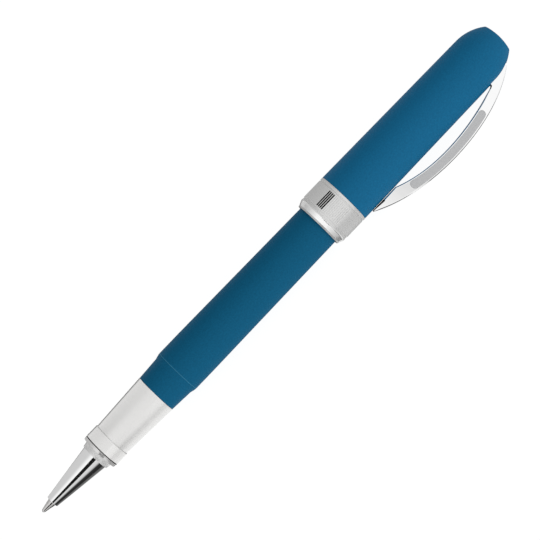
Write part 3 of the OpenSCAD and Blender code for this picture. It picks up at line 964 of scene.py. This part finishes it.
def clip_pieces():
    """The chrome clip, with a grey panel let into the pocket on each of its sides."""
    depth = 0.2
    play = 0.015
    pin_r = 0.55
    outline = clip_outline()
    bow = bevelled(outline, clip_insets(outline), CLIP_W)
    pockets = [slab(inlay_outline(), 2 * depth, shift=side * CLIP_W / 2) for side in (1, -1)]
    pin = slab(arc(clip_pivot_x, clip_pivot_height, pin_r, 0, 360, 48)[:-1], 2 * CLIP_W)
    piece = finished("clip_bow_detail", carved(bow, pockets + [pin]), "clip", chrome,
                     ["clip_bow"])
    # The clip's faces next to the cap are coloured black as a painted shadow.
    faced(piece, painted_shade_black, painted_shadow_face)
    for side, node in ((1, "clip_inlay_upper"), (-1, "clip_inlay_lower")):
        panel = slab(inlay_outline(play), depth - 0.01, shift=side * (CLIP_W - depth) / 2,
                     bevel=0.05)
        finished(node + "_detail", panel, "clip", grey_enamel, [node])


# ---- Threads -----------------------------------------------------------------------------------

def thread_pieces():
    """The brass screw thread between section and barrel, seen when the pen is opened."""
    pitch = 1.0
    turns = 5
    ridge = 0.4
    foot, crest = 0.3, 0.1
    play = 0.08
    root_r = 4.05
    thread_x = joint_x + 1.4
    screw = helix_ridge(connector_x, connector_end, 3.3, root_r, root_r + ridge, thread_x,
                        pitch, turns, foot, crest)
    finished("section_connector_detail", screw, "section", brass, ["section_connector"])
    nut = helix_ridge(insert_x, insert_end, insert_r, root_r + ridge + 0.1, root_r + 0.1,
                      thread_x + pitch / 2, pitch, turns,
                      pitch / 2 - crest - play, pitch / 2 - foot - play)
    finished("barrel_thread_detail", nut, "barrel", brass, ["barrel_thread_insert"])


point_piece()
ball_piece()
nose_piece()
ring_piece()
grip_piece()
collar_piece()
barrel_piece()
tail_piece()
spring_piece()
band_piece()
cap_piece()
finial_piece()
clip_pieces()
thread_pieces()

CAD_LOOKS = {
    "refill_tube": refill_metal,
    "refill_nose": black_plastic,
    "refill_end_plug": black_plastic,
    "ink_reservoir": fibre,
    "ink_feed": fibre,
    "keeper_ring": magnet_metal,
    "cap_liner": black_plastic,
    "closure_magnet": magnet_metal,
    "clip_carrier": brass,
    "clip_pivot_pin": spring_steel,
    "clip_spring": spring_steel,
}
for node, look in CAD_LOOKS.items():
    frame["nodes"][node].data.materials.clear()
    frame["nodes"][node].data.materials.append(look)


# ---- Camera ------------------------------------------------------------------------------------

def camera():
    """Looks almost square on to the clip's plane, turned so that the pen runs up the picture."""
    distance = 554.0
    view_angle = math.radians(13.04)
    turn = math.radians(46.17)  # from the picture's right edge to the pen
    eye_x = 70.0
    target_x = 77.71
    height = -0.79  # of the picture's middle over the axis
    target = place(target_x, height)
    position = place(eye_x, height, distance)
    back = (position - target).normalized()
    right = math.cos(turn) * ALONG + math.sin(turn) * CLIP
    right = (right - right.dot(back) * back).normalized()
    up = back.cross(right)
    data = bpy.data.cameras.new("camera")
    data.sensor_width = 36
    data.angle = view_angle
    data.clip_start = 0.01
    data.clip_end = 20
    eye = bpy.data.objects.new("camera", data)
    bpy.context.scene.collection.objects.link(eye)
    matrix = eye.matrix_world.copy()
    for row in range(3):
        matrix[row][0] = right[row]
        matrix[row][1] = up[row]
        matrix[row][2] = back[row]
        matrix[row][3] = position[row]
    eye.matrix_world = matrix
    bpy.context.scene.camera = eye


# ---- Floor and light ---------------------------------------------------------------------------

def floor():
    """A large pale table, softly lit from within so that shadows stay faint.

    Glossy reflections don't see it, so polished metal shows only the studio.
    """
    radius = 3.0
    gap = 0.00002  # metres under the pen
    glow = 0.93
    bm = bmesh.new()
    bmesh.ops.create_circle(bm, cap_ends=True, radius=radius, segments=96)
    mesh = bpy.data.meshes.new("floor")
    bm.to_mesh(mesh)
    bm.free()
    table = bpy.data.objects.new("floor", mesh)
    bpy.context.scene.collection.objects.link(table)
    table.location.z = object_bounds()[0].z - gap
    shader = Shader("pale_table", roughness=0.9, ior_level=0.0)
    shader.colour(shader.noise(40.0), (0.14, 0.14, 0.14), (0.15, 0.15, 0.15))
    shader.bsdf.inputs["Emission Color"].default_value = (1, 1, 1, 1)
    shader.bsdf.inputs["Emission Strength"].default_value = glow
    mesh.materials.append(shader.material)
    table.visible_glossy = False
    table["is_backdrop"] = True


def studio():
    """A tent as the world: white towards the camera, dark on the clip's side and grey elsewhere.

    Directions are told by their angle round the pen, in degrees from the camera's side towards the
    clip, and by how far they lean along the pen: the part of their unit vector along its axis.
    What polished metal shows is the tent with one black card in it. Matt surfaces get an even
    light that is a little stronger from the clip's side, and the camera itself sees plain white.
    """
    world = bpy.data.worlds.new("studio")
    bpy.context.scene.world = world
    world.use_nodes = True
    world.cycles.sampling_method = "NONE"
    nodes, links = world.node_tree.nodes, world.node_tree.links
    nodes.clear()

    def feed(socket, value):
        """Gives a socket a number, or the value of another node."""
        if isinstance(value, (int, float)):
            socket.default_value = value
        else:
            links.new(value, socket)

    def maths(kind, *values, clamp=False):
        """The result of a maths node."""
        node = nodes.new("ShaderNodeMath")
        node.operation = kind
        node.use_clamp = clamp
        for socket, value in zip(node.inputs, values):
            feed(socket, value)
        return node.outputs["Value"]

    def add(one, other):
        return maths("ADD", one, other)

    def multiply(one, other):
        return maths("MULTIPLY", one, other)

    def part_along(axis):
        """The part of the direction's unit vector that is along an axis."""
        node = nodes.new("ShaderNodeVectorMath")
        node.operation = "DOT_PRODUCT"
        links.new(direction, node.inputs[0])
        node.inputs[1].default_value = axis
        return node.outputs["Value"]

    def over(source, low, high, stops):
        """A soft ramp over a source that runs from low to high, from its (source, value) stops."""
        ramp = nodes.new("ShaderNodeValToRGB")
        ramp.color_ramp.interpolation = "EASE"
        elements = ramp.color_ramp.elements
        while len(elements) > 1:
            elements.remove(elements[-1])
        for k, (at, value) in enumerate(stops):
            position = (at - low) / (high - low)
            stop = elements[0] if k == 0 else elements.new(position)
            stop.position = position
            stop.color = (value, value, value, 1)
        share = maths("DIVIDE", maths("SUBTRACT", source, low), high - low, clamp=True)
        links.new(share, ramp.inputs["Fac"])
        return ramp.outputs["Color"]

    def towards(one, other, share):
        """A value share of the way from one to the other."""
        return add(one, multiply(share, maths("SUBTRACT", other, one)))

    def choose(share, one, other):
        """One value where share is 0, and the other where it is 1."""
        node = nodes.new("ShaderNodeMix")
        node.data_type = "FLOAT"
        feed(node.inputs["Factor"], share)
        feed(node.inputs[2], one)
        feed(node.inputs[3], other)
        return node.outputs[0]

    direction = nodes.new("ShaderNodeTexCoord").outputs["Generated"]
    to_camera, to_clip, lean = part_along(SIDE), part_along(CLIP), part_along(ALONG)
    degrees = maths("DEGREES", maths("ARCTAN2", to_clip, to_camera))
    off_camera = maths("ABSOLUTE", degrees)

    # The whole tent, with a shade for the cap on the side away from the clip.
    tent = over(degrees, -180, 180, [
        (-180, 0.3), (-165, 0.62), (-60, 0.64), (-48, 0.68), (-38, 0.8), (-28, 0.93), (-12, 1.02),
        (14, 1.02), (22, 0.86), (32, 0.74), (50, 0.66), (58, 0.35), (67, 0.03), (100, 0.02),
        (112, 0.12), (136, 0.17), (168, 0.18), (180, 0.3),
    ])
    shaded_side = over(degrees, -180, 180, [(-65, 0.35), (-22, 0)])
    over_cap = over(lean, -0.5, 0.5, [(-0.08, 0), (0.03, 1), (0.4, 1), (0.5, 0)])
    tent = towards(tent, 0.0, multiply(shaded_side, over_cap))

    # The part of the tent that the satin section shows.
    over_section = over(lean, -0.5, 0.5, [(-0.17, 0), (-0.148, 1), (-0.065, 1), (-0.045, 0)])
    section_light = over(degrees, -180, 180, [
        (-180, 0.1), (-151, 0.15), (-134, 1.02), (-60, 1.0), (0, 0.92), (18, 0.92), (26, 1.14),
        (62, 1.08), (76, 0.84), (94, 0.84), (106, 0.96), (180, 0.98),
    ])
    tent = towards(tent, section_light, over_section)

    # A faint shade for the front half of the clip's flat side.
    over_clip = over(lean, -0.5, 0.5, [(0.06, 0), (0.08, 0.24), (0.09, 0.24), (0.112, 0)])
    face_on = over(off_camera, 0, 180, [(5, 1), (9, 0)])
    tent = towards(tent, 0.0, multiply(over_clip, face_on))

    # The tent's ends, which the band's chamfered mouth and other steep faces show.
    ends = over(maths("ABSOLUTE", lean), 0.0, 1.0, [(0.375, 0), (0.43, 1)])
    end_light = over(off_camera, 0, 180, [
        (0, 1.08), (31, 1.05), (47, 0.88), (67, 0.74), (86, 0.58), (117, 0.42), (180, 0.35),
    ])
    tent = towards(tent, end_light, ends)

    # The black card, which draws the dark line down the nose cone. Where directions lean further
    # it is wider and stands nearer to the clip.
    card_lean, card_reach = -0.45, 0.1415
    card_degrees, card_half = 6.0, 16.5
    past = maths("MINIMUM", maths("SUBTRACT", -0.342, lean), 0.03)
    middle = add(card_degrees, multiply(past, 460.0))
    half = add(card_half, multiply(past, 120.0))
    card = multiply(maths("COMPARE", degrees, middle, half),
                    maths("COMPARE", lean, card_lean, card_reach))
    tent = towards(tent, 0.0, multiply(card, 0.99))

    # The even light of matt surfaces.
    even = add(0.815, multiply(to_clip, 0.56))
    even = add(even, multiply(multiply(lean, lean), 0.3))
    path = nodes.new("ShaderNodeLightPath")
    light = choose(path.outputs["Is Diffuse Ray"], tent, even)
    background = nodes.new("ShaderNodeBackground")
    background.inputs["Color"].default_value = (1, 1, 1, 1)
    links.new(choose(path.outputs["Is Camera Ray"], light, 1.0), background.inputs["Strength"])
    output = nodes.new("ShaderNodeOutputWorld")
    links.new(background.outputs["Background"], output.inputs["Surface"])


camera()
floor()
studio()
bpy.context.scene.view_settings.view_transform = "Standard"
